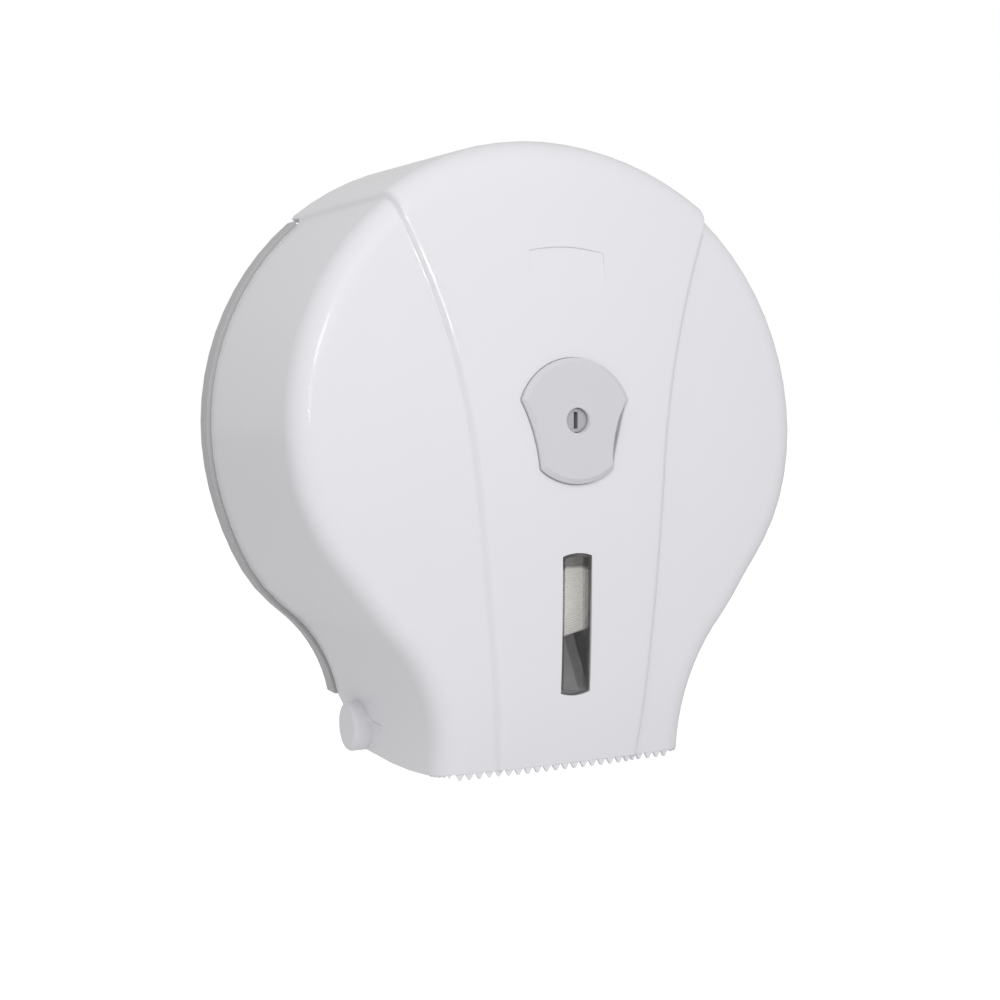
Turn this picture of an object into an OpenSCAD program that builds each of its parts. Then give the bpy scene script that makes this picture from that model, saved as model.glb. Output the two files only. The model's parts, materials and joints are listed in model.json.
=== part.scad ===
// Jumbo toilet roll dispenser, wall mounted.
// Z is up, the front faces -Y, the wall is the plane y = 0 and the origin is
// where the spindle's axis meets the wall.

/* [Outline] */
// Radius of the round part of the back plate's rim
disc_r = 135; // [130:1:145]
// How far the round part's centre lies below the spindle
disc_drop = 3.9; // [2:0.1:5]
// Half width of the neck at the wall
neck_half = 68.5; // [64:0.5:74]
// Radius of the hollow curve between the round part and the neck
waist_r = 74; // [60:1:90]
// Angle from the top to each end of the raised band at the rim
notch_angle = 41; // [38:0.5:44]
// How far the outline swells between the widest place and the neck
low_swell = 1.6; // [0:0.1:2]

/* [Cover] */
// Wall thickness of the cover
wall = 2.5; // [2:0.1:3]
// How far the cover's edge steps in from the rim
cover_step = 2; // [1.5:0.1:3]
// Draft of the cover's side wall in degrees
draft = 1.6; // [1.2:0.1:2.2]
// Extra draft where the outline swells
low_draft = 2; // [0:0.1:2.6]
// Draft of the side wall where the round part meets the neck
join_draft = 3; // [2:0.1:3.4]
// Angle by which each end of the raised band runs inwards on its way to the front
notch_lean = 2.6; // [0:0.1:3]
// Room for the lock between the spindle's end and the deepest place of the front
lock_room = 41.5; // [40:0.5:43]
// Height at which the front is deepest
front_peak_z = -71; // [-76:1:-66]
// Radius of the front's curve from top to bottom
front_r_z = 950; // [850:10:1300]
// Radius of the front's curve from side to side
front_r_x = 950; // [650:10:1200]
// Length of the rounding between side and front
corner_len = 11.7; // [10:0.1:14]
// Length of the rounding between top and front
top_corner_len = 20; // [17:0.5:24]
// Length of the rounding at the neck's lower end
neck_corner_len = 12.5; // [10:0.5:16]
// Draft of the neck's side wall at the lip in degrees
neck_draft = 0.8; // [0.2:0.1:2]
// Height of the bottom lip's tooth roots
lip_z = -158; // [-159:0.5:-156]
// Height at which the lower front starts to turn back
lip_turn_z = -112; // [-120:1:-105]
// How far the lip is turned back
lip_back = 2.3; // [1.5:0.1:4]
// How far the side's lower edge drops below the lip
lip_drop = 6.3; // [5:0.1:7]

/* [Band] */
// Height of the raised band
band_h = 2.6; // [1.5:0.1:3.5]
// Half width of the band at the lip
band_low = 36.6; // [35:0.1:39]
// Widening of the band per millimetre of height
band_slope = 0.088; // [0.08:0.002:0.094]
// Height at which the band starts to flare
flare_z = -20; // [-26:0.5:-16]

/* [Teeth] */
// Spacing of the tear teeth
tooth_pitch = 4.78; // [4.6:0.02:4.9]
// Height of the tear teeth
tooth_h = 3; // [2.5:0.1:4]

/* [Back plate] */
// Depth of the visible rim
rim_depth = 11.4; // [10:0.2:14]
// Thickness of the back plate
plate_t = 3; // [2.5:0.1:4]
// Thickness of the rim's wall
rim_t = 6; // [5:0.2:7]
// Height of the back plate's lower edge
plate_low_z = -142.5; // [-144:0.5:-140]
// Diameter of the wall screw holes
wall_hole_d = 5.5; // [4.5:0.1:6.5]
// Spacing of the wall screw holes from side to side
wall_hole_dx = 150; // [120:1:160]
// Spacing of the wall screw holes from top to bottom
wall_hole_dz = 120; // [100:1:130]

/* [Hinge] */
// Distance of the hinge from the wall
hinge_depth = 42; // [40:0.5:44]
// Height of the hinge
hinge_z = -153; // [-154:0.5:-152]
// Diameter of the hinge bosses on the cover
boss_d = 24.5; // [22:0.5:25]
// How far the hinge bosses stand out of the neck
boss_out = 8.8; // [7:0.2:9.4]
// Diameter of the hinge pins
pin_d = 8; // [6:0.5:9]
// Thickness of the hinge arms
arm_t = 6; // [5:0.5:7]

/* [Spindle] */
// Outer diameter of the spindle
spindle_d = 42; // [38:1:44]
// Wall thickness of the spindle
spindle_wall = 2.5; // [2:0.1:3]
// Thickness of the cap that closes the spindle
cap_t = 3; // [2.5:0.1:3.5]

/* [Roll] */
// Diameter of the paper roll
roll_d = 216; // [180:1:222]
// Width of the paper roll
roll_w = 84; // [80:0.5:86]
// Inner diameter of the cardboard core
core_d = 60; // [56:0.5:64]
// Wall thickness of the cardboard core
core_t = 2; // [1.2:0.1:3]
// Distance from the wall to the roll's rear face
roll_gap = 13; // [12:0.5:14]

/* [Lock] */
// Greatest half width of the lock plate
shield_half = 27.1; // [26:0.1:28]
// Height of the lock plate's top above the key hole
shield_top = 28.2; // [27:0.2:30]
// Depth of the lock plate's bottom below the key hole
shield_low = 28.8; // [28:0.2:30]
// How far the lock plate stands proud of the cover
shield_proud = 2.6; // [2:0.1:3.5]
// Diameter of the key hole
key_d = 11.4; // [10.6:0.2:12.4]
// Diameter of the lock barrel
barrel_d = 16; // [14:0.5:17]
// Length of each half of the lock's cross bar
bar_half = 12; // [10:0.5:13]
// Width of the lock's cross bar
bar_w = 6; // [5:0.2:6.6]

/* [Window] */
// Width of the window
window_w = 15; // [13:0.5:18]
// Height of the window's top
window_top = -60; // [-63:0.5:-57]
// Height of the window's bottom
window_low = -125.5; // [-127:0.5:-122]

/* [Fits] */
// Gap between pieces that don't touch
gap = 0.6; // [0.5:0.1:0.8]
// Radial clearance of a turning shaft in its bore
run_fit = 0.1; // [0.05:0.01:0.1]

/* [Hidden] */
$fn = 64;

white = [0.92, 0.92, 0.94];
grey = [0.62, 0.62, 0.63];
disc_z = -disc_drop;
spindle_len = roll_gap + roll_w + cap_t;
front_depth = spindle_len + lock_room;
cover_back = rim_depth + gap;
skirt_back = 1;

// ---- Outline: an upper circle and a hollow waist curve that runs into the neck

waist_x = neck_half + waist_r;
waist_z = disc_z - sqrt(pow(disc_r + waist_r, 2) - pow(waist_x, 2));
join_angle = atan2(disc_z - waist_z, waist_x);

// Share of the swell at an angle on the upper circle: 1 at its height, 0 at the side and the neck
function low_share(a) = let (t = (a - 180) / join_angle) t > 0 ? 90 * pow(t, 6) * pow(1 - t, 2) : 0;
// A section line across the outline: [centre x, centre z, sense, base radius, angle, lean].
// Sense is 1 on the upper circle, where an inset shortens the radius, and -1 on the waist.
// Lean is the change of the angle per millimetre of depth.
function disc_line(a, lean = 0) = [0, disc_z, 1, disc_r + low_swell * low_share(a), a, lean];
function waist_line(a) = [-waist_x, waist_z, -1, waist_r, a, 0];
function line_point(l, inset, depth = 0) =
    let (a = l[4] + l[5] * depth, r = l[3] - l[2] * inset)
    [l[0] + r * cos(a), l[1] + r * sin(a)];

// ---- The cover's surface

// Half width of the band at a height
flare_k = 0.0016;
function band_half(z) =
    band_low + band_slope * (z - lip_z) + flare_k * pow(max(0, z - flare_z), 2);
// Depth of the front surface, measured from the wall
function front_at(x, z) = front_depth
    - pow(z - front_peak_z, 2) / (2 * front_r_z) - pow(x, 2) / (2 * front_r_x)
    - lip_back * pow(max(0, lip_turn_z - z) / (lip_turn_z - lip_z), 2);

// Direction, as an angle from straight down, in which the rounded corner runs inwards.
// It turns from the vertical over the band to the outline's own normal at the sides.
notch_turn = 0.436;
function inward_turn(a) =
    a <= notch_angle ? a * notch_turn
    : a <= 90 ? notch_angle * notch_turn
        + (a - notch_angle) * (90 - notch_angle * notch_turn) / (90 - notch_angle)
    : a;

function bezier(a, b, c, t) = (1 - t) * (1 - t) * a + 2 * t * (1 - t) * b + t * t * c;
function mix(a, b, t) = a + (b - a) * t;

// How far down the neck a section line lies, from 0 at the round part to 1 at the lip
function neck_share(l) = l[2] > 0 ? 0 : (l[4] - join_angle) / (low_angle - join_angle);
// Share of the way from the widest place to the neck, eased at both ends
function join_share(a) = let (t = max(0, (a - 180) / join_angle)) t * t * (3 - 2 * t);
function draft_at(l) = l[2] > 0
    ? mix(draft, join_draft, join_share(l[4])) + low_draft * low_share(l[4])
    : mix(join_draft, neck_draft, neck_share(l));
// Inset of the side wall at a depth: skin is 0 outside and wall inside, rise is the band's
function wall_inset(l, depth, skin, rise) =
    cover_step + (depth - cover_back) * tan(draft_at(l)) + skin - rise;
// Point of the side wall at a depth
function wall_at(l, depth, skin, rise) =
    line_point(l, wall_inset(l, depth, skin, rise), depth - cover_back);

// Depth at which the side wall meets the front surface on a section line
function corner_depth(l, skin, rise, d = 120, n = 3) =
    let (p = wall_at(l, d, skin, rise), e = front_at(p[0], p[1]) - skin + rise)
    n == 0 ? e : corner_depth(l, skin, rise, e, n - 1);

function skin_at(x, z, skin, rise) = [x, -(front_at(x, z) - skin + rise), z];

// The section from the back edge to the front surface: wall points, then corner points.
// turn is the inward direction's angle from straight down, side its sign in x.
function section(l, turn, side, len, back, skin, rise) =
    let (
        deep = corner_depth(l, skin, rise),
        top = wall_at(l, deep, skin, rise),
        start = deep - len,
        low = wall_at(l, start, skin, rise),
        reach = len - skin * 0.3,
        fx = top[0] + side * reach * sin(turn),
        fz = top[1] - reach * cos(turn),
        w = [low[0], -start, low[1]],
        k = [top[0], -deep, top[1]],
        f = skin_at(fx, fz, skin, rise)
    )
    concat(
        [for (i = [0:wall_steps - 1])
            let (d = mix(back, start, i / wall_steps), p = wall_at(l, d, skin, rise))
            [p[0], -d, p[1]]],
        [for (i = [0:corner_steps]) bezier(w, k, f, i / corner_steps)]
    );

// Steps along each part of the shell
wall_steps = 4;
corner_steps = 7;
side_steps = 4;
band_steps = 8;
disc_rows = 19;
waist_rows = 10;
lens_rows = 5;
// Width and rise fractions of the band's rounded step
step_cut = [[0, 0], [0.7, 0.14], [1.5, 0.48], [2.3, 0.82], [3.8, 1]];
n_step = len(step_cut);

section_n = wall_steps + corner_steps + 1;
half_n = section_n + side_steps + n_step - 1 + band_steps;
row_n = 2 * half_n - 1;
row_count = disc_rows + waist_rows + 1;
low_angle = asin((lip_z - waist_z) / (waist_r + cover_step + tan(neck_draft) * 115));

// Lean of the notch's ends in degrees per millimetre of depth
lean = notch_lean / (front_depth - cover_back);

// Section lines of the rows on the left side, from the notch down to the lip
function row_line(i) = i <= disc_rows
    ? disc_line(mix(90 + notch_angle, 180 + join_angle, i / disc_rows),
        -lean * pow(1 - i / disc_rows, 2))
    : waist_line(mix(join_angle, low_angle, (i - disc_rows) / waist_rows));
function row_turn(i) = i <= disc_rows
    ? inward_turn(mix(notch_angle, 90 + join_angle, i / disc_rows))
    : mix(90 + join_angle, 90 + low_angle, (i - disc_rows) / waist_rows);
// The neck's lower rows bow down to the back and start behind the hinge
function row_tilt(i) = pow(max(0, i - disc_rows) / waist_rows, 2);
function tilt(p, i) = p - [0, 0, row_tilt(i) * lip_drop
    * (1 - pow(max(0, -p[1] - 66) / (front_at(0, lip_z) - 66), 2))];
cut_z = plate_low_z - 1;
function row_back(i) =
    let (z = line_point(row_line(i), cover_step)[1] - row_tilt(i) * lip_drop)
    cover_back + max(0, cut_z - z) * (hinge_depth - cover_back) / (cut_z - hinge_z + boss_d / 2);

// Half of a row, from the back edge at the left to the middle
function half_row(i, skin) =
    let (
        long = mix(corner_len, neck_corner_len, max(0, i - disc_rows) / waist_rows),
        s = section(row_line(i), row_turn(i), 1, long, row_back(i), skin, 0),
        f = s[section_n - 1],
        z = f[2],
        b = i == 0 ? -f[0] : min(band_half(z) * notch_half / band_half(notch_z), -f[0] - 0.5)
    )
    [for (p = concat(
        s,
        [for (j = [1:side_steps]) skin_at(mix(f[0], -b, j / side_steps), z, skin, 0)],
        [for (j = [1:n_step - 1]) skin_at(-b + step_cut[j][0], z, skin, band_h * step_cut[j][1])],
        [for (j = [1:band_steps])
            skin_at(mix(-b + step_cut[n_step - 1][0], 0, j / band_steps), z, skin, band_h)]
    )) tilt(p, i)];

// The notch's front end, where the band's edge starts down the front
notch_section = section(row_line(0), notch_angle * notch_turn, 1, corner_len, cover_back, 0, 0);
notch_half = -notch_section[section_n - 1][0];
notch_z = notch_section[section_n - 1][2];

function flip(p) = [-p[0], p[1], p[2]];
function full_row(i, skin) =
    let (h = half_row(i, skin))
    concat(h, [for (j = [1:half_n - 1]) flip(h[half_n - 1 - j])]);

// The band's columns over the top: share of the notch angle and rise for each
function cap_share(c) =
    c < n_step ? -1 + step_cut[c][0] / notch_half
    : mix(-1 + step_cut[n_step - 1][0] / notch_half, 0, (c - n_step + 1) / band_steps);
cap_half = n_step + band_steps;
cap_n = 2 * cap_half - 1;
function cap_q(c) = c < cap_half ? cap_share(c) : -cap_share(cap_n - 1 - c);
function cap_rise(c) =
    let (k = min(c, cap_n - 1 - c)) band_h * (k < n_step ? step_cut[k][1] : 1);

// The outermost columns at each side end in front of the rim, the others reach the wall
short_n = 3;
// One column of the cap, from the back edge to the front surface and down to the chord
function cap_column(c, skin) =
    let (
        q = cap_q(c),
        rise = cap_rise(c),
        long = mix(top_corner_len, corner_len, q * q),
        s = section(disc_line(90 - q * notch_angle, q * lean), abs(q) * notch_angle * notch_turn,
            q < 0 ? 1 : -1, long, c < short_n || c >= cap_n - short_n ? cover_back : skirt_back, skin, rise),
        f = s[section_n - 1],
        base = notch_section[section_n - 1]
    )
    concat(s, [for (r = [1:lens_rows - 1])
        let (t = r / lens_rows)
        skin_at(mix(f[0], q * notch_half, t), mix(f[2], base[2], t), skin, rise)]);

// ---- Numbering of the shell's points: the rows, then the cap's inner columns
body_count = row_count * row_n;
cap_len = section_n + lens_rows - 1;
cap_inner = cap_n - 2;
skin_count = body_count + cap_inner * cap_len;
side_first = section_n - 1;
side_last = section_n + side_steps - 1;

// At the notch row the side panel has no width, so its points are one
function body_id(i, j) =
    i > 0 ? i * row_n + j
    : j > side_first && j <= side_last ? side_first
    : j < row_n - 1 - side_first && j >= row_n - 1 - side_last ? row_n - 1 - side_first
    : j;
function cap_id(r, c) =
    c == 0 ? body_id(0, min(r, side_first))
    : c == cap_n - 1 ? body_id(0, row_n - 1 - min(r, side_first))
    : r == cap_len ? body_id(0, side_last + c)
    : body_count + (c - 1) * cap_len + r;

function skin_points(skin) = concat(
    [for (i = [0:row_count - 1]) each full_row(i, skin)],
    [for (c = [1:cap_n - 2]) each cap_column(c, skin)]);
function quad(a, b, c, d) = [[a, b, c], [a, c, d]];
function real_faces(list) = [for (f = list) if (f[0] != f[1] && f[1] != f[2] && f[2] != f[0]) f];
skin_faces = real_faces(concat(
    [for (i = [0:row_count - 2]) for (j = [0:row_n - 2])
        each quad(body_id(i, j), body_id(i, j + 1), body_id(i + 1, j + 1), body_id(i + 1, j))],
    [for (r = [0:cap_len - 1]) for (c = [0:cap_n - 2])
        each quad(cap_id(r, c), cap_id(r, c + 1), cap_id(r + 1, c + 1), cap_id(r + 1, c))]
));
// The open edge, once round: up the left back edge, over the cap, down the right, along the lip
edge_loop = concat(
    [for (i = [row_count - 1:-1:0]) body_id(i, 0)],
    [for (c = [1:cap_n - 2]) cap_id(0, c)],
    [for (i = [0:row_count - 1]) body_id(i, row_n - 1)],
    [for (j = [row_n - 2:-1:1]) body_id(row_count - 1, j)]
);
edge_n = len(edge_loop);

module cover_shell() {
    outer = skin_points(0);
    inner = skin_points(wall);
    used = [for (k = [0:edge_n - 1]) [edge_loop[k], edge_loop[(k + 1) % edge_n]]];
    polyhedron(
        points = concat(outer, inner),
        faces = concat(
            skin_faces,
            [for (f = skin_faces) [f[2] + skin_count, f[1] + skin_count, f[0] + skin_count]],
            [for (e = used) each quad(e[1], e[0], e[0] + skin_count, e[1] + skin_count)]
        )
    );
}

// ---- Helpers

// Extrudes a shape drawn in x and z from one depth to another
module to_depth(d0, d1) translate([0, -d0, 0]) rotate([90, 0, 0]) linear_extrude(d1 - d0) children();
// Extrudes a shape drawn in y and z along x
module along_x(x0, x1) translate([x0, 0, 0]) rotate([90, 0, 90]) linear_extrude(x1 - x0) children();
// A round bar on the spindle's axis line at x, z
module post(d0, d1, d, x = 0, z = 0) to_depth(d0, d1) translate([x, z]) circle(d = d);
module both_sides() {
    children();
    mirror([1, 0, 0]) children();
}
// A solid through rings of equal length, closed by flat ends
module loft(rings) {
    n = len(rings[0]);
    last = len(rings) - 1;
    polyhedron(
        points = [for (r = rings) each r],
        faces = concat(
            [for (k = [0:last - 1]) for (i = [0:n - 1])
                let (a = k * n + i, b = k * n + (i + 1) % n)
                each quad(a, a + n, b + n, b)],
            [[for (i = [0:n - 1]) i]],
            [[for (i = [n - 1:-1:0]) last * n + i]]
        )
    );
}

// ---- Back plate

notch_r = disc_r - 3.6;
notch_half_angle = notch_angle + 0.3;
plate_low_angle = asin((plate_low_z - waist_z) / waist_r);
// Half of the plate's edge, from the notch down to the lower edge, at an inset
function left_edge(inset) = concat(
    [for (i = [0:20])
        line_point(disc_line(mix(90 + notch_half_angle, 180 + join_angle, i / 20)), inset)],
    [for (i = [1:8]) line_point(waist_line(mix(join_angle, plate_low_angle, i / 8)), inset)]
);
function plate_edge(inset) =
    let (l = left_edge(inset), n = len(l))
    concat(
        l,
        inset > 0 ? [l[n - 1] - [0, 2], [-l[n - 1][0], l[n - 1][1] - 2]] : [],
        [for (i = [n - 1:-1:0]) [-l[i][0], l[i][1]]],
        [for (i = [0:14])
            let (a = mix(90 - notch_half_angle, 90 + notch_half_angle, i / 14))
            [(notch_r - inset) * cos(a), disc_z + (notch_r - inset) * sin(a)]]
    );
wall_holes = [for (x = [-1, 1]) for (z = [-1, 1]) [x * wall_hole_dx / 2, z * wall_hole_dz / 2]];
pad_depth = 8;
pad_r = 33;
flange_r = 31;
flange_t = 3;
flange_screw_r = 26.2;
flange_screws = [for (a = [90, 210, 330]) flange_screw_r * [cos(a), sin(a)]];
screw_d = 3.5;
lip_ring_r = disc_r - cover_step - wall - gap - 0.2;
arm_in = 55;
arm_out = arm_in + arm_t;
pin_end = 70.5;

module arm_shape() {
    polygon([[-plate_t + 0.5, -98], [-plate_t + 0.5, -141.5], [-hinge_depth + 4, hinge_z - 6],
        [-hinge_depth - 4, hinge_z + 6], [-26, -116]]);
    translate([-hinge_depth, hinge_z]) circle(r = 7.5);
}

module back_plate() color(grey) difference() {
    union() {
        to_depth(0, plate_t) polygon(plate_edge(0));
        to_depth(plate_t - 0.5, rim_depth) difference() {
            polygon(plate_edge(0));
            polygon(plate_edge(rim_t));
        }
        // Lip that guides the upper half of the cover
        to_depth(plate_t - 0.5, rim_depth + 4.5) difference() {
            translate([0, disc_z]) circle(r = lip_ring_r);
            translate([0, disc_z]) circle(r = lip_ring_r - 2);
            translate([-disc_r, -2 * disc_r]) square(2 * disc_r);
        }
        post(plate_t - 0.5, pad_depth, 2 * pad_r);
        for (h = wall_holes) post(plate_t - 0.5, plate_t + 2, 16, h[0], h[1]);
        // Ribs from the pad to the rim
        to_depth(plate_t - 0.5, pad_depth - 1) for (a = [0:60:300])
            rotate(a) translate([pad_r - 2, -1.2]) square([lip_ring_r - pad_r, 2.4]);
        both_sides() along_x(arm_in, arm_out) arm_shape();
    }
    for (h = wall_holes) post(-1, plate_t + 3, wall_hole_d, h[0], h[1]);
    for (h = flange_screws) post(1, pad_depth + 1, screw_d, h[0], h[1]);
    // Hollow behind the pad
    post(-1, pad_depth - 3, 30);
    both_sides() along_x(arm_in - 1, arm_out + 1)
        translate([-hinge_depth, hinge_z]) circle(d = pin_d);
}

module hinge_pin(side) color([0.75, 0.75, 0.77])
    translate([side < 0 ? -pin_end : arm_in - 1, -hinge_depth, hinge_z])
        rotate([0, 90, 0]) cylinder(d = pin_d, h = pin_end - arm_in + 1);

// ---- Spindle

sleeve_rear = pad_depth + flange_t + gap;
cap_d = spindle_d + 5;
cap_back = spindle_len - cap_t;
cap_screw_x = spindle_d / 2 - 3.5;
cap_screw_d = 2.6;

module spindle() color(white) difference() {
    union() {
        post(pad_depth, pad_depth + flange_t, 2 * flange_r);
        post(pad_depth, cap_back, spindle_d);
    }
    difference() {
        post(pad_depth + flange_t, cap_back + 1, spindle_d - 2 * spindle_wall);
        for (x = [-1, 1]) post(cap_back - 14, cap_back + 2, 6.4, x * cap_screw_x);
    }
    for (x = [-1, 1]) post(cap_back - 11, cap_back + 1, cap_screw_d, x * cap_screw_x);
    for (h = flange_screws) {
        post(pad_depth - 1, pad_depth + flange_t + 1, screw_d, h[0], h[1]);
        post(pad_depth + flange_t - 1.8, pad_depth + flange_t + 1, 7, h[0], h[1]);
    }
}

module spindle_screws() color([0.7, 0.7, 0.72]) for (h = flange_screws) difference() {
    union() {
        post(2, pad_depth + 1.2, screw_d, h[0], h[1]);
        post(pad_depth + flange_t - 1.8, pad_depth + flange_t - 0.2, 6.8, h[0], h[1]);
    }
    to_depth(pad_depth + flange_t - 0.8, pad_depth + flange_t) translate(h)
        circle(d = 2.8, $fn = 6);
}

slot_half = bar_w / 2 + 1;
slot_top = bar_half + 1.5;
slot_low = -bar_half - 5;
module spindle_cap() color(white) difference() {
    post(cap_back, spindle_len, cap_d);
    to_depth(cap_back - 1, spindle_len + 1) translate([-slot_half, slot_low])
        square([2 * slot_half, slot_top - slot_low]);
    for (x = [-1, 1]) {
        post(cap_back - 1, spindle_len + 1, cap_screw_d, x * cap_screw_x);
        post(spindle_len - 1.4, spindle_len + 1, 5.4, x * cap_screw_x);
    }
}

module cap_screws() color([0.7, 0.7, 0.72]) for (x = [-1, 1]) difference() {
    union() {
        post(cap_back - 9, spindle_len - 1.2, cap_screw_d, x * cap_screw_x);
        post(spindle_len - 1.4, spindle_len, 5.2, x * cap_screw_x);
    }
    to_depth(spindle_len - 0.8, spindle_len + 1) translate([x * cap_screw_x, 0])
        circle(d = 2.2, $fn = 6);
}

// ---- Roll on its turning sleeve

fin_r = core_d / 2 - 0.4;
sleeve_r = spindle_d / 2 + 2.6;
module core_adapter() color([0.85, 0.86, 0.88]) difference() {
    union() {
        post(sleeve_rear, cap_back - gap, 2 * sleeve_r);
        to_depth(sleeve_rear, cap_back - gap) for (a = [0:60:300]) rotate(a)
            translate([sleeve_r - 1, -1.25]) square([fin_r - sleeve_r + 1, 2.5]);
    }
    post(sleeve_rear - 1, cap_back, spindle_d + 2 * run_fit);
}

module roll_core() color([0.72, 0.6, 0.46]) difference() {
    post(roll_gap, roll_gap + roll_w, core_d + 2 * core_t);
    post(roll_gap - 1, roll_gap + roll_w + 1, core_d);
}

module paper_roll() color([0.96, 0.95, 0.93]) difference() {
    post(roll_gap, roll_gap + roll_w, roll_d);
    post(roll_gap - 1, roll_gap + roll_w + 1, core_d + 2 * core_t);
}

// ---- Frames on the front surface, with the local -y pointing out of the cover

lock_depth = front_at(0, 0) + band_h;
lock_tilt = atan(-front_peak_z / front_r_z);
module at_lock() translate([0, -lock_depth, 0]) rotate([-lock_tilt, 0, 0]) children();
// Depth of the cover's inner face behind the band
function inner_at(x, z) = front_at(x, z) + band_h - wall;
window_in = [inner_at(0, window_top), inner_at(0, window_low)];
window_tilt = atan((window_in[0] - window_in[1]) / (window_top - window_low));
module at_window() translate([0, -mix(window_in[0], window_in[1], 0.5),
    (window_top + window_low) / 2]) rotate([window_tilt, 0, 0]) children();

// ---- Lock plate's outline

function arc(x, z, r, a0, a1, n) = [for (i = [0:n])
    let (a = mix(a0, a1, i / n)) [x + r * cos(a), z + r * sin(a)]];
shoulder = [shield_half, 9.3];
foot = [shield_half * 0.683, -21.9];
top_r = (pow(shoulder[0], 2) + pow(shield_top - shoulder[1], 2)) / (2 * (shield_top - shoulder[1]));
top_a = asin((shoulder[1] - shield_top + top_r) / top_r);
low_r = (pow(foot[0], 2) + pow(shield_low + foot[1], 2)) / (2 * (shield_low + foot[1]));
low_a = asin((foot[1] + shield_low - low_r) / low_r);
waist_in = [(shoulder[0] + foot[0]) / 2 - 3.3, (shoulder[1] + foot[1]) / 2 + 0.9];
function side_curve(t) = bezier(shoulder, waist_in, foot, t);
shield = concat(
    arc(0, shield_top - top_r, top_r, top_a + 1.4, 178.6 - top_a, 24),
    [for (i = [0:9]) let (c = side_curve(mix(0.015, 0.985, i / 9))) [-c[0], c[1]]],
    arc(0, low_r - shield_low, low_r, 181.4 - low_a, 358.6 + low_a, 16),
    [for (i = [9:-1:0]) side_curve(mix(0.015, 0.985, i / 9))]
);
// The outline grown by a margin and laid at a local height above the cover
function shield_ring(margin, y) =
    [for (p = shield) let (k = 1 + margin / norm(p)) [p[0] * k, -y, p[1] * k]];

pocket = 1.2;
bevel_h = 1.3;
bevel_w = 2.1;
lock_hole_d = 18;
post_x = 17.5;
post_d = 7;
plate_screw_d = 2.8;
// Local height of the housing's seat behind the cover
housing_seat = -wall - 0.3;
barrel_front = lock_depth + shield_proud - 2.4;
barrel_back = spindle_len + 12;
housing_back = barrel_back + 0.2;
neck_d = barrel_d - 4;
groove_d = neck_d - 2.4;
stem_d = 7;
stem_back = cap_back - gap;
tip_d = 5;
cam_t = 3;
key_slot = 2;
key_high = 7.6;
key_deep = 9;
cam_back = stem_back - cam_t;

module lock_plate() color([0.82, 0.82, 0.84]) difference() {
    at_lock() union() {
        loft([shield_ring(0, -pocket), shield_ring(0, shield_proud - bevel_h),
            shield_ring(-bevel_w, shield_proud)]);
        for (x = [-1, 1]) translate([x * post_x, 0, 0])
            to_depth(housing_seat, -pocket + 0.5) circle(d = post_d);
    }
    post(lock_depth - 5, lock_depth + 10, key_d);
    post(lock_depth + shield_proud - 0.5, lock_depth + 10, key_d + 0.8);
    at_lock() for (x = [-1, 1])
        translate([x * post_x, 0, 0]) to_depth(housing_seat - 1, 1.2) circle(d = plate_screw_d);
}

module lock_plate_screws() color([0.7, 0.7, 0.72]) at_lock() for (x = [-1, 1])
    translate([x * post_x, 0, 0]) difference() {
        union() {
            to_depth(housing_seat - 2.5, 0.8) circle(d = plate_screw_d);
            to_depth(housing_seat - 4.3, housing_seat - 2.5) circle(d = 5.6);
        }
        to_depth(housing_seat - 5, housing_seat - 3.4) circle(d = 2.4, $fn = 6);
    }

module lock_housing() color(white) difference() {
    union() {
        at_lock() to_depth(housing_seat - 2.5, housing_seat) {
            for (x = [-1, 1]) translate([x * post_x, 0]) circle(d = 11);
            translate([-post_x, -5.5]) square([2 * post_x, 11]);
            circle(d = 25);
        }
        post(housing_back, lock_depth - 5, barrel_d + 4.6);
    }
    post(housing_back - 1, lock_depth + 5, barrel_d + 2 * run_fit);
    at_lock() for (x = [-1, 1]) translate([x * post_x, 0, 0])
        to_depth(housing_seat - 3, housing_seat + 1) circle(d = plate_screw_d);
}

// The barrel, with a key slot in front and a stem that reaches through the spindle's cap
module lock_barrel() color([0.45, 0.45, 0.47]) difference() {
    union() {
        post(barrel_back, lock_depth - wall - 0.4, barrel_d);
        post(lock_depth - wall - 1, barrel_front, key_d - 0.6);
        post(barrel_back - 0.2, barrel_back + 1, neck_d);
        post(barrel_back - 1.4, barrel_back, neck_d);
        post(barrel_back - 2.6, barrel_back - 1, groove_d);
        post(barrel_back - 4, barrel_back - 2.6, neck_d);
        post(stem_back, barrel_back - 3, stem_d);
        post(cam_back, stem_back + 1, tip_d);
    }
    to_depth(barrel_front - key_deep, barrel_front + 1) translate([-key_slot / 2, -key_high / 2])
        square([key_slot, key_high]);
    post(cam_back - 1, cam_back + 8, cap_screw_d);
}

module barrel_washer() color([0.78, 0.78, 0.8]) difference() {
    post(barrel_back - 1.2, barrel_back - 0.1, barrel_d + 3);
    post(barrel_back - 3, barrel_back + 1, neck_d + 0.2);
}

module retaining_clip() color([0.6, 0.6, 0.62]) to_depth(barrel_back - 2.5, barrel_back - 1.5) difference() {
    circle(d = barrel_d - 0.4);
    circle(d = groove_d + 0.1);
    translate([-3.6, -barrel_d]) square([7.2, barrel_d]);
}

module lock_cam() color([0.7, 0.7, 0.72]) to_depth(cam_back, stem_back) difference() {
    union() {
        translate([-bar_w / 2, -bar_half + 1.5]) square([bar_w, 2 * bar_half - 3]);
        intersection() {
            circle(r = bar_half);
            translate([-bar_w / 2, -bar_half]) square([bar_w, 2 * bar_half]);
        }
    }
    circle(d = tip_d);
}

module cam_screw() color([0.7, 0.7, 0.72]) difference() {
    union() {
        post(cam_back, cam_back + 7, cap_screw_d);
        post(cam_back - 1.8, cam_back, 7);
    }
    to_depth(cam_back - 2, cam_back - 0.9) circle(d = 2.8, $fn = 6);
}

// ---- Window

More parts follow.
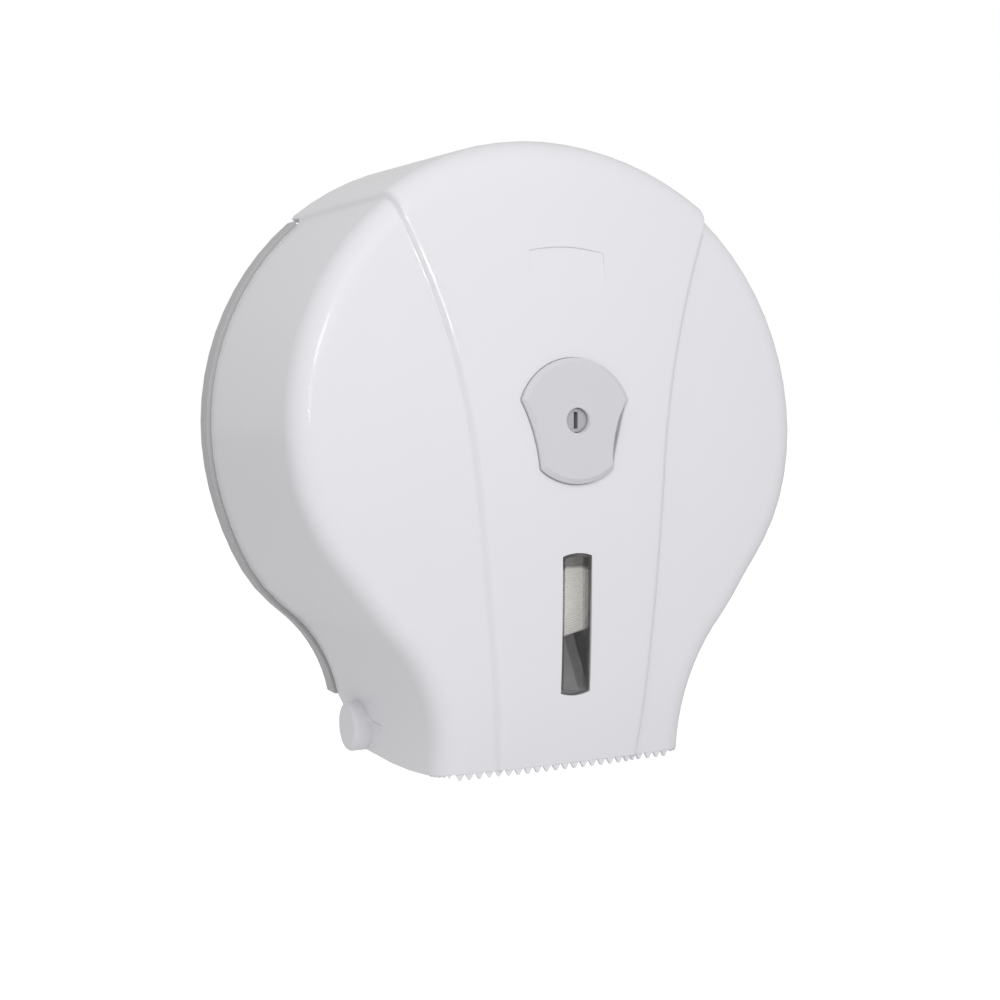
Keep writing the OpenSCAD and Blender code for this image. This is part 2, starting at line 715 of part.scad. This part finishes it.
window_h = window_top - window_low;
function window_outline(m) = let (w = window_w / 2 + m, h = window_h / 2 + m, r = w * 2.8)
    concat(
        arc(0, h - r, r, acos(w / r), 180 - acos(w / r), 8),
        arc(0, r - h, r, 180 + acos(w / r), 360 - acos(w / r), 8)
    );
// The window is a shallow tray: its pane lies behind the cover's wall
tray_wall = 1.2;
tray_deep = 6.5;
module window_lens() color([0.3, 0.3, 0.3, 0.6]) at_window() difference() {
    union() {
        to_depth(-tray_deep, wall - 0.3) polygon(window_outline(-0.25));
        to_depth(-1.6, -0.3) polygon(window_outline(2.6));
    }
    to_depth(tray_wall - tray_deep, wall + 1) polygon(window_outline(-0.25 - tray_wall));
}

// ---- Cover

badge_half = 19;
badge_high = 30;
badge_mid = 63.5;
badge_r = 80;
badge_in = 0.3;
badge_lean = 2.2;
badge_tilt = atan((badge_mid - front_peak_z) / front_r_z);

// ---- Tear teeth, set out along the lip's own edge

lip_row = half_row(row_count - 1, 0);
lip_last = len(lip_row) - 1;
// Length along the lip from the middle to one of its points
function lip_run(i) = i >= lip_last ? 0 : lip_run(i + 1) + norm(lip_row[i + 1] - lip_row[i]);
function lip_axis(k) = [for (i = [lip_last:-1:wall_steps]) [lip_run(i), lip_row[i][k]]];
lip_x = lip_axis(0);
lip_y = lip_axis(1);
lip_h = lip_axis(2);
// Point of the right half of the lip at a length from the middle
function lip_at(s) = [-lookup(s, lip_x), lookup(s, lip_y), lookup(s, lip_h)];
tooth_n = 12;
fine_n = 5;
fine_pitch = 2.6;
fine_h = 1.5;
tooth_tip = 0.7;
// A tooth w wide and h high under the right half of the lip, set along a stretch of it
module tooth(s, w, h, stretch) {
    along = lip_at(s + stretch) - lip_at(max(0, s - stretch));
    turn = atan2(along[1], along[0]);
    // It lies behind the most hollow place over its width
    hollow = max([for (k = [-1:1]) (lip_at(s + k * w / 2) - lip_at(s)) * [-sin(turn), cos(turn), 0]]);
    translate(lip_at(s)) rotate([0, 0, turn]) translate([0, hollow, 0])
        to_depth(0.4 - wall, -0.1) polygon([[-w / 2, 1.5], [-w / 2, 0.2], [-tooth_tip / 2, -h],
            [tooth_tip / 2, -h], [w / 2, 0.2], [w / 2, 1.5]]);
}
module teeth() {
    for (k = [1:tooth_n]) tooth((k - 0.5) * tooth_pitch, tooth_pitch - 0.3, tooth_h, 8);
    for (k = [1:fine_n])
        tooth(tooth_n * tooth_pitch + k * fine_pitch, fine_pitch - 0.4, fine_h - 0.2 * k, 1);
}

module front_cover() color(white) difference() {
    union() {
        cover_shell();
        both_sides() {
            hinge_boss();
            boss_rib();
            teeth();
        }
    }
    both_sides() translate([0, -hinge_depth, hinge_z]) rotate([0, 90, 0])
        cylinder(d = pin_d + 2 * run_fit, h = pin_end + 0.4);
    at_window() to_depth(-6, 8) polygon(window_outline(0));
    at_lock() {
        loft([shield_ring(0.3, -pocket), shield_ring(0.3, 5)]);
        to_depth(-6, 2) circle(d = lock_hole_d);
        for (x = [-1, 1]) translate([x * post_x, 0, 0]) to_depth(-6, 2) circle(d = post_d + 0.4);
    }
    // Shallow bare place for a badge, deepest at its arched top edge
    translate([0, -front_at(0, badge_mid) - band_h, badge_mid])
        rotate([-badge_tilt - badge_lean, 0, 0]) to_depth(-badge_in, 4) intersection() {
            translate([-badge_half, -badge_high / 2]) square([2 * badge_half, badge_high]);
            translate([0, badge_high / 2 - badge_r]) circle(r = badge_r, $fn = 120);
        }
}

boss_in = arm_out + gap + 0.7;
boss_end = neck_half - cover_step - 0.6 + boss_out;
boss_round = 2;
module hinge_boss() translate([0, -hinge_depth, hinge_z]) rotate([0, 90, 0])
    rotate_extrude() polygon(concat(
        [[0, boss_in], [boss_d / 2, boss_in]],
        [for (i = [0:4]) let (a = i * 22.5)
            [boss_d / 2 - boss_round + boss_round * cos(a), boss_end - boss_round + boss_round * sin(a)]],
        [[0, boss_end]]
    ));

// Short rib on the side wall in front of the boss
rib_len = 13;
rib_high = 1.4;
rib_out = 0.8;
module boss_rib()
    translate([neck_half - cover_step - 2, -hinge_depth - boss_d / 2 - rib_len - 1.3, hinge_z + 3.3])
        cube([2 + rib_out, rib_len, rib_high]);

back_plate();
spindle();
spindle_screws();
spindle_cap();
cap_screws();
hinge_pin(-1);  // hinge_pin_left
hinge_pin(1);  // hinge_pin_right
front_cover();
window_lens();
lock_plate();
lock_plate_screws();
lock_housing();
lock_barrel();
barrel_washer();
retaining_clip();
lock_cam();
cam_screw();
core_adapter();
roll_core();
paper_roll();
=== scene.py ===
import json
import math

import bpy
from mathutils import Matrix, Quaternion, Vector


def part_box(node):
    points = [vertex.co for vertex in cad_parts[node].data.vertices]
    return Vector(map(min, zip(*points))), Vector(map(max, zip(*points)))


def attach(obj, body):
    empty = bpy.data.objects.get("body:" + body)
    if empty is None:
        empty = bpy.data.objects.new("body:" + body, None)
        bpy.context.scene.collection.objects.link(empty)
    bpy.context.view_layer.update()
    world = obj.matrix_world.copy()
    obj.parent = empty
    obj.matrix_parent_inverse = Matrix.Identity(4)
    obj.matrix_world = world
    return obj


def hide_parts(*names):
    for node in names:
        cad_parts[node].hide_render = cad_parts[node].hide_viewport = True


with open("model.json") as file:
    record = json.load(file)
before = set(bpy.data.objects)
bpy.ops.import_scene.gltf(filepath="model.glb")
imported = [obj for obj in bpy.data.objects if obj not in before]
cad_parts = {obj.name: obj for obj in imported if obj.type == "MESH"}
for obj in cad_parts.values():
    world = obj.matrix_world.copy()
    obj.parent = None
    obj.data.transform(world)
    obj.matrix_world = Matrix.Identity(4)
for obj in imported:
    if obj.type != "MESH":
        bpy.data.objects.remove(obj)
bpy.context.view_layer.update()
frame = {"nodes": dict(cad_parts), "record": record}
bpy.ops.object.select_all(action="DESELECT")
bodyOf = {node: body for body, nodes in frame["record"]["behaviour"]["bodies"].items() for node in nodes}
print("frame loaded:", len(frame["nodes"]), "nodes")


def tone(red, green, blue):  # screen colour 0 to 255 to linear light
    def linear(value):
        value = value / 255
        return value / 12.92 if value <= 0.04045 else ((value + 0.055) / 1.055) ** 2.4
    return (linear(red), linear(green), linear(blue), 1)


class Wire:  # a shader socket that works in Python sums
    def __init__(self, tree, socket):
        self.tree = tree
        self.socket = socket

    def work(self, operation, first, second):
        return addNode(self.tree, "ShaderNodeMath", {"operation": operation}, {0: first, 1: second})

    def __add__(self, other):
        return self.work("ADD", self, other)

    def __radd__(self, other):
        return self.work("ADD", other, self)

    def __sub__(self, other):
        return self.work("SUBTRACT", self, other)

    def __rsub__(self, other):
        return self.work("SUBTRACT", other, self)

    def __mul__(self, other):
        return self.work("MULTIPLY", self, other)

    def __rmul__(self, other):
        return self.work("MULTIPLY", other, self)

    def __truediv__(self, other):
        return self.work("DIVIDE", self, other)

    def __rtruediv__(self, other):
        return self.work("DIVIDE", other, self)

    def __pow__(self, other):
        return self.work("POWER", self, other)

    def __rpow__(self, other):
        return self.work("POWER", other, self)

    def out(self, name):  # another output of the same node
        return Wire(self.tree, self.socket.node.outputs[name])


def feed(tree, node, inputs):  # links or plain values into a node's sockets
    for name, value in inputs.items():
        if isinstance(value, Wire):
            tree.links.new(value.socket, node.inputs[name])
        else:
            node.inputs[name].default_value = value


def addNode(tree, kind, settings=None, inputs=None):
    node = tree.nodes.new(kind)
    for name, value in (settings or {}).items():
        if name == "stops":
            ramp = node.color_ramp.elements
            while len(ramp) < len(value):
                ramp.new(0.5)
            for stop, (place, colour) in zip(ramp, value):
                stop.position = place
                stop.color = colour
        else:
            setattr(node, name, value)
    feed(tree, node, inputs or {})
    return Wire(tree, node.outputs[0])


def startMaterial(name):
    material = bpy.data.materials.new(name)
    material.use_nodes = True
    tree = material.node_tree
    place = addNode(tree, "ShaderNodeTexCoord").out("Object")
    return material, tree, tree.nodes["Principled BSDF"], place


def noise(tree, place, scale, detail, rough=0.5):
    return addNode(tree, "ShaderNodeTexNoise", {},
                   {"Vector": place, "Scale": scale, "Detail": detail, "Roughness": rough})


def bump(tree, height, distance):
    return addNode(tree, "ShaderNodeBump", {}, {"Height": height, "Distance": distance, "Strength": 1.0})


def blendColour(tree, share, first, second):  # a Mix node's colour sockets are 6 and 7 in, 2 out
    mixed = addNode(tree, "ShaderNodeMix", {"data_type": "RGBA"}, {0: share, 6: first, 7: second})
    return mixed.out(2)


def softStep(tree, value, start, end):  # 0 up to start, 1 from end on, smooth between
    return addNode(tree, "ShaderNodeMapRange", {"interpolation_type": "SMOOTHSTEP"},
                   {"Value": value, "From Min": start, "From Max": end})


def mouldedPlastic(name, look):
    material, tree, shader, place = startMaterial(name)
    cloud = noise(tree, place, look["cloudScale"], look["cloudDetail"])
    grain = noise(tree, place, look["grainScale"], look["grainDetail"])
    feed(tree, shader, {
        "Base Color": blendColour(tree, cloud, look["colour"], look["shade"]),
        "Roughness": look["rough"] + (grain - 0.5) * look["roughSpread"],
        "Normal": bump(tree, grain, look["grainDepth"]),
        "IOR": look["ior"],
        "Coat Weight": look["coat"],
        "Coat Roughness": look["coatRough"],
    })
    return material


plasticBase = {"cloudDetail": 3, "grainDetail": 2, "ior": 1.5, "coat": 0, "coatRough": 0.08}
coverLook = {**plasticBase, "colour": tone(233, 232, 236), "shade": tone(230, 229, 234),
             "cloudScale": 9, "grainScale": 900, "grainDepth": 0.00001,
             "rough": 0.2, "roughSpread": 0.06, "coat": 0.25}
plateLook = {**plasticBase, "colour": tone(190, 190, 191), "shade": tone(185, 185, 186),
             "cloudScale": 12, "grainScale": 2200, "grainDepth": 0.00004,
             "rough": 0.42, "roughSpread": 0.12}
lockLook = {**plasticBase, "colour": tone(214, 214, 218), "shade": tone(210, 210, 215),
            "cloudScale": 30, "grainScale": 3200, "grainDepth": 0.00003,
            "rough": 0.38, "roughSpread": 0.1}
innerLook = {**plasticBase, "colour": tone(224, 224, 226), "shade": tone(219, 219, 222),
             "cloudScale": 20, "grainScale": 1800, "grainDepth": 0.00002,
             "rough": 0.35, "roughSpread": 0.1}
coverPlastic = mouldedPlastic("glossCover", coverLook)
platePlastic = mouldedPlastic("greyPlate", plateLook)
lockPlastic = mouldedPlastic("lockGrey", lockLook)
innerPlastic = mouldedPlastic("innerWhite", innerLook)


def turnedMetal(name, look):
    material, tree, shader, place = startMaterial(name)
    stretched = addNode(tree, "ShaderNodeMapping", {}, {"Vector": place, "Scale": look["stretch"]})
    lines = noise(tree, stretched, look["lineScale"], look["lineDetail"])
    feed(tree, shader, {
        "Base Color": blendColour(tree, lines, look["colour"], look["shade"]),
        "Roughness": look["rough"] + (lines - 0.5) * look["roughSpread"],
        "Normal": bump(tree, lines, look["lineDepth"]),
        "Metallic": look["metal"],
    })
    return material


metalBase = {"lineDetail": 4, "lineDepth": 0.00002, "roughSpread": 0.2}
zincLook = {**metalBase, "colour": tone(205, 205, 208), "shade": tone(180, 180, 184),
            "stretch": (1, 0.08, 1), "lineScale": 1500, "rough": 0.34, "metal": 1.0}
barrelLook = {**metalBase, "colour": tone(212, 212, 215), "shade": tone(186, 186, 190),
              "stretch": (1, 0.2, 1), "lineScale": 1200, "rough": 0.4, "metal": 0.5}
zincSteel = turnedMetal("zincSteel", zincLook)
barrelMetal = turnedMetal("barrelMetal", barrelLook)


def smokedPane(look):  # clear smoked plastic, denser in its walls, with painted shade in a band along its top
    material, tree, shader, place = startMaterial("smokedPane")
    axes = addNode(tree, "ShaderNodeSeparateXYZ", {}, {"Vector": place})
    haze = noise(tree, place, look["hazeScale"], look["hazeDetail"])
    # painted shade: the pane grows denser in a band along its top, standing in for the upper wall's shadow
    height = softStep(tree, axes.out("Z"), look["shadeLow"], look["shadeHigh"])
    front = softStep(tree, axes.out("Y"), look["wallBack"], look["wallFront"])
    density = look["pane"] + height * look["paintedTopShade"] + front * look["wallExtra"]
    feed(tree, shader, {
        "Alpha": density + (haze - 0.5) * look["hazeSpread"],
        "Base Color": look["colour"],
        "Roughness": look["rough"] + haze * look["roughSpread"],
    })
    return material


paneLook = {"colour": tone(84, 82, 83), "rough": 0.08, "roughSpread": 0.04,
            "hazeScale": 60, "hazeDetail": 2, "hazeSpread": 0.05, "pane": 0.18,
            "shadeLow": -0.0685, "shadeHigh": -0.0665, "paintedTopShade": 0.38,
            "wallBack": -0.1372, "wallFront": -0.1382, "wallExtra": 0.25}
paneGlass = smokedPane(paneLook)


def woundCardboard(look):
    material, tree, shader, place = startMaterial("woundCardboard")
    axes = addNode(tree, "ShaderNodeSeparateXYZ", {}, {"Vector": place})
    angle = addNode(tree, "ShaderNodeMath", {"operation": "ARCTAN2"}, {0: axes.out("Z"), 1: axes.out("X")})
    turn = axes.out("Y") * look["turnsPerMetre"] + angle / (2 * math.pi)
    alongTurn = addNode(tree, "ShaderNodeMath", {"operation": "FRACT"}, {0: turn})
    seam = addNode(tree, "ShaderNodeValToRGB", {"stops": look["seam"]}, {0: alongTurn})
    fibre = noise(tree, place, look["fibreScale"], look["fibreDetail"], look["fibreRough"])
    feed(tree, shader, {
        "Base Color": blendColour(tree, fibre, look["colour"], look["shade"]),
        "Normal": bump(tree, seam * look["seamShare"] + fibre * look["fibreShare"], look["depth"]),
        "Roughness": look["rough"],
    })
    return material


cardLook = {"colour": tone(190, 160, 124), "shade": tone(160, 130, 96), "rough": 0.9,
            "fibreScale": 700, "fibreDetail": 5, "fibreRough": 0.7, "fibreShare": 0.4,
            "turnsPerMetre": 22, "seam": [(0, (0, 0, 0, 1)), (0.04, (1, 1, 1, 1))],
            "seamShare": 0.6, "depth": 0.0002}
cardboard = woundCardboard(cardLook)


def tissuePaper(look):
    material, tree, shader, place = startMaterial("tissuePaper")
    axes = addNode(tree, "ShaderNodeSeparateXYZ", {}, {"Vector": place})
    x, z = axes.out("X"), axes.out("Z")
    radius = (x * x + z * z) ** 0.5
    wander = noise(tree, place, look["wanderScale"], look["noiseDetail"])
    wind = addNode(tree, "ShaderNodeMath", {"operation": "SINE"},
                   {0: (radius + wander * look["wander"]) * (2 * math.pi / look["layer"])})
    crepe = noise(tree, place, look["crepeScale"], look["noiseDetail"])
    # the relief also sets the colour, darker in its hollows: painted shade between the layers and in the
    # crepe
    reliefAndPaintedShade = (wind * 0.5 + 0.5) * look["layerShare"] + crepe * look["crepeShare"]
    feed(tree, shader, {
        "Base Color": blendColour(tree, reliefAndPaintedShade, look["shade"], look["colour"]),
        "Normal": bump(tree, reliefAndPaintedShade, look["depth"]),
        "Roughness": look["rough"],
    })
    return material


paperLook = {"colour": tone(240, 238, 234), "shade": tone(222, 219, 213), "rough": 0.95,
             "wanderScale": 40, "wander": 0.0006, "layer": 0.0012, "layerShare": 0.6,
             "crepeScale": 900, "crepeShare": 0.4, "noiseDetail": 3, "depth": 0.0003}
tissue = tissuePaper(paperLook)
print("materials ready")


mergeGap = 0.000005  # metres: points of a mesh nearer than this become one
meshCare = {"flat": 0.2, "pairFlat": 1, "pairShape": 120, "bevelSteps": 2}  # angles in degrees
pairedNodes = {"back_plate"}  # its flat faces have too many holes to be merged whole


# A piece carried over from the frame, merged and given even shading and, where edge
# isn't 0, soft edges. edge is their width in metres. corner is the least angle in
# degrees that is softened, and shade the angle up to which faces shade as one.
def smoothCopy(name, node, finish, edge, corner=50, shade=36):
    source = frame["nodes"][node]
    piece = source.copy()
    piece.data = source.data.copy()
    piece.name = name
    bpy.context.collection.objects.link(piece)
    bpy.ops.object.select_all(action="DESELECT")
    bpy.context.view_layer.objects.active = piece
    piece.select_set(True)
    bpy.ops.object.mode_set(mode="EDIT")
    bpy.ops.mesh.select_all(action="SELECT")
    bpy.ops.mesh.remove_doubles(threshold=mergeGap)
    bpy.ops.mesh.mark_sharp(clear=True)
    if node in pairedNodes:
        bpy.ops.mesh.tris_convert_to_quads(face_threshold=math.radians(meshCare["pairFlat"]),
                                           shape_threshold=math.radians(meshCare["pairShape"]))
    else:
        bpy.ops.mesh.dissolve_limited(angle_limit=math.radians(meshCare["flat"]))
    bpy.ops.object.mode_set(mode="OBJECT")
    bpy.ops.mesh.customdata_custom_splitnormals_clear()
    if edge:
        soft = piece.modifiers.new("softEdge", "BEVEL")
        soft.width = edge
        soft.segments = meshCare["bevelSteps"]
        soft.limit_method = "ANGLE"
        soft.angle_limit = math.radians(corner)
        soft.use_clamp_overlap = False
        bpy.ops.object.modifier_apply(modifier="softEdge")
    bpy.ops.object.mode_set(mode="EDIT")
    bpy.ops.mesh.select_all(action="SELECT")
    bpy.ops.mesh.quads_convert_to_tris(quad_method="BEAUTY", ngon_method="BEAUTY")
    bpy.ops.object.mode_set(mode="OBJECT")
    bpy.ops.object.shade_smooth_by_angle(angle=math.radians(shade))
    even = piece.modifiers.new("evenShade", "WEIGHTED_NORMAL")
    even.keep_sharp = True
    bpy.ops.object.modifier_apply(modifier="evenShade")
    piece.data.materials.clear()
    piece.data.materials.append(finish)
    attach(piece, bodyOf[node])
    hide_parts(node)
    piece.select_set(False)


carried = {
    "mouldedCover": {"node": "front_cover", "finish": coverPlastic, "edge": 0.0002, "corner": 70},
    "wallPlate": {"node": "back_plate", "finish": platePlastic, "edge": 0},
    "lockShield": {"node": "lock_plate", "finish": lockPlastic, "edge": 0, "shade": 24},
    "levelPane": {"node": "window_lens", "finish": paneGlass, "edge": 0.0002},
    "keyBarrel": {"node": "lock_barrel", "finish": barrelMetal, "edge": 0.00012},
    "lockSleeve": {"node": "lock_housing", "finish": innerPlastic, "edge": 0.0002},
    "spindleTube": {"node": "spindle", "finish": innerPlastic, "edge": 0.0003},
    "spindleFace": {"node": "spindle_cap", "finish": innerPlastic, "edge": 0.0003},
    "turningSleeve": {"node": "core_adapter", "finish": innerPlastic, "edge": 0.0002},
    "cardCore": {"node": "roll_core", "finish": cardboard, "edge": 0.0003},
    "spindleScrews": {"node": "spindle_screws", "finish": zincSteel, "edge": 0.0001},
    "capScrews": {"node": "cap_screws", "finish": zincSteel, "edge": 0.0001},
    "shieldScrews": {"node": "lock_plate_screws", "finish": zincSteel, "edge": 0.0001},
    "camScrew": {"node": "cam_screw", "finish": zincSteel, "edge": 0.0001},
    "camBar": {"node": "lock_cam", "finish": zincSteel, "edge": 0.0002},
    "thrustWasher": {"node": "barrel_washer", "finish": zincSteel, "edge": 0.0001},
    "springClip": {"node": "retaining_clip", "finish": zincSteel, "edge": 0.0001},
    "leftPin": {"node": "hinge_pin_left", "finish": zincSteel, "edge": 0.0003},
    "rightPin": {"node": "hinge_pin_right", "finish": zincSteel, "edge": 0.0003},
}
for pieceName, form in carried.items():
    smoothCopy(pieceName, **form)
print("carried pieces ready")


paperForm = {"rounding": 0.0012, "turns": 160, "steps": 3, "rings": 14, "shade": 40}


# The wound paper: half of its section, spun about the roll's axis
def windPaper():
    low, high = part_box("paper_roll")
    coreLow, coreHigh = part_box("roll_core")
    outer, inner = (high[0] - low[0]) / 2, (coreHigh[0] - coreLow[0]) / 2
    middle = (low[1] + high[1]) / 2
    bpy.ops.mesh.primitive_plane_add(size=1, location=((outer + inner) / 2, middle, 0))
    paper = bpy.context.object
    paper.name = "woundPaper"
    paper.scale = (outer - inner, high[1] - low[1], 1)
    bpy.ops.object.transform_apply(location=True, rotation=True, scale=True)
    bpy.ops.object.mode_set(mode="EDIT")
    bpy.ops.mesh.select_all(action="SELECT")
    bpy.ops.mesh.bevel(affect="VERTICES", offset=paperForm["rounding"], segments=paperForm["steps"])
    bpy.ops.mesh.delete(type="ONLY_FACE")
    bpy.ops.object.mode_set(mode="OBJECT")
    for vertex in paper.data.vertices:
        vertex.select = False
    for edge in paper.data.edges:  # the two long sides become the roll's end faces
        a, b = (paper.data.vertices[i].co for i in edge.vertices)
        edge.select = abs(a.x - b.x) > (outer - inner) / 2
    bpy.ops.object.mode_set(mode="EDIT")
    bpy.ops.mesh.select_mode(type="EDGE")
    bpy.ops.mesh.subdivide(number_cuts=paperForm["rings"])
    bpy.ops.mesh.select_all(action="SELECT")
    bpy.ops.mesh.spin(steps=paperForm["turns"], angle=2 * math.pi, center=(0, 0, 0), axis=(0, 1, 0))
    bpy.ops.mesh.select_all(action="SELECT")
    bpy.ops.mesh.remove_doubles(threshold=mergeGap)
    bpy.ops.mesh.normals_make_consistent(inside=False)
    bpy.ops.object.mode_set(mode="OBJECT")
    bpy.ops.object.shade_smooth_by_angle(angle=math.radians(paperForm["shade"]))
    paper.data.materials.append(tissue)
    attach(paper, bodyOf["paper_roll"])
    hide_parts("paper_roll")
    paper.select_set(False)
    print("paper wound:", len(paper.data.polygons), "faces")


windPaper()


studio = {"floorDrop": 0.3, "floorSize": 14, "floorTone": 0.84, "floorRough": 0.9,
          "floorGlow": 0.56, "skyLight": 0.615, "skySeen": 1.0}


def layFloor():
    bpy.ops.mesh.primitive_plane_add(size=studio["floorSize"], location=(0, 0, -studio["floorDrop"]))
    floor = bpy.context.object
    floor.name = "paleFloor"
    material, tree, shader, place = startMaterial("paleFloor")
    level = studio["floorTone"]
    seen = addNode(tree, "ShaderNodeLightPath").out("Is Camera Ray")
    feed(tree, shader, {
        "Base Color": (level, level, level, 1),
        "Roughness": studio["floorRough"],
        "Emission Color": (1, 1, 1, 1),
        "Emission Strength": seen * studio["floorGlow"],
    })
    floor.data.materials.append(material)
    floor.select_set(False)


def lightSky():
    world = bpy.data.worlds.new("studioSky")
    bpy.context.scene.world = world
    world.use_nodes = True
    tree = world.node_tree
    seen = addNode(tree, "ShaderNodeLightPath").out("Is Camera Ray")
    feed(tree, tree.nodes["Background"], {
        "Color": (1, 1, 1, 1),
        "Strength": seen * (studio["skySeen"] - studio["skyLight"]) + studio["skyLight"],
    })


layFloor()
lightSky()

lamps = {  # metres, degrees and watts
    "nearBox": {"place": (-0.27, -1.0, 0.58), "aim": (0, -0.12, 0), "roll": 0,
                "width": 0.6, "height": 0.6, "power": 4.9},
    "leftStrip": {"place": (-0.4, -0.8, 0.345), "aim": (-0.117, -0.128, 0.033), "roll": -44,
                  "width": 0.015, "height": 0.17, "power": 0.25},
    "bandStrip": {"place": (-0.46, -0.827, 0.13), "aim": (-0.074, -0.13, 0.08), "roll": 0,
                  "width": 0.015, "height": 0.04, "power": 0.011},
    "innerGlow": {"place": (0, -0.118, -0.085), "aim": (0, 0, -0.085), "roll": 0,
                  "width": 0.06, "height": 0.06, "power": 0.015},
}
bandSpread = 12  # degrees, so that it reaches the band's edge and little beside it


def hangLamp(name, place, aim, roll, width, height, power):
    bpy.ops.object.light_add(type="AREA", location=place)
    lamp = bpy.context.object
    lamp.name = name
    lamp.data.shape = "RECTANGLE"
    lamp.data.size = width
    lamp.data.size_y = height
    lamp.data.energy = power
    facing = (Vector(aim) - Vector(place)).to_track_quat("-Z", "Y")
    lamp.rotation_euler = (facing @ Quaternion((0, 0, 1), math.radians(roll))).to_euler()
    lamp.visible_camera = False
    lamp.select_set(False)
    return lamp


hung = {lampName: hangLamp(lampName, **form) for lampName, form in lamps.items()}
hung["nearBox"].visible_glossy = False  # lights the form; the strips alone make the bright lines
hung["leftStrip"].visible_diffuse = False
hung["bandStrip"].visible_diffuse = False
hung["bandStrip"].data.spread = math.radians(bandSpread)
hung["innerGlow"].visible_glossy = False  # stands for the daylight that the white shell passes on
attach(hung["innerGlow"], bodyOf["front_cover"])

# Angles in degrees, place and nearest in metres, sensor and lens in millimetres
shot = {"turn": 25.69, "tilt": 4.22, "place": (-0.32635, -0.74119, 0.01425),
        "sensor": 36, "lens": 54.33, "nearest": 0.01}


def setCamera():
    bpy.ops.object.camera_add(location=shot["place"],
                              rotation=(math.radians(90 - shot["tilt"]), 0, math.radians(-shot["turn"])))
    camera = bpy.context.object
    camera.name = "frontCamera"
    camera.data.sensor_width = shot["sensor"]
    camera.data.lens = shot["lens"]
    camera.data.clip_start = shot["nearest"]
    bpy.context.scene.camera = camera
    camera.select_set(False)


setCamera()
bpy.context.scene.view_settings.view_transform = "Standard"
print("studio ready")
